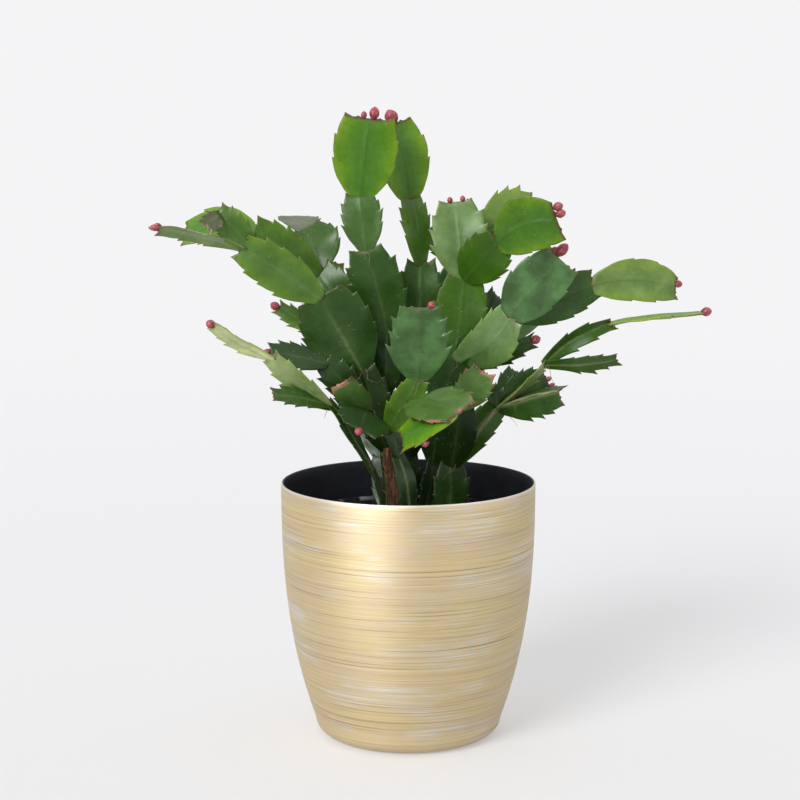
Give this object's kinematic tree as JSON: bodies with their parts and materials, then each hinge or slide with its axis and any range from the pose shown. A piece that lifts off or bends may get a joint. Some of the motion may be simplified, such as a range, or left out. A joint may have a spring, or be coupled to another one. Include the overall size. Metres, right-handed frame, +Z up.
{
  "type": "potted holiday cactus",
  "caption": "Bushy holiday cactus with flat toothed stem segments and small buds, growing in a black nursery pot inside a gilded round cover pot.",
  "frame": {"origin": "centre of the cover pot's flat underside, on the surface that it stands on", "axes": "+Z up along the pot's axis; the viewer of the picture looks along +Y, with +X to the right"},
  "size_m": [0.2966, 0.1809, 0.3461],
  "materials": {
    "gold_lacquer": "satin",
    "black_plastic": "satin",
    "potting_soil": "matte",
    "cactus_green": "satin"
  },
  "bodies": {
    "root": {"cover_pot": "gold_lacquer", "nursery_pot": "black_plastic", "soil": "potting_soil", "stem_trunk": "cactus_green", "stem_left": "cactus_green", "stem_crown": "cactus_green", "stem_front": "cactus_green", "stem_back": "cactus_green", "stem_right": "cactus_green", "stem_rear_left": "cactus_green", "stem_rear_right": "cactus_green"}
  },
  "joints": []
}
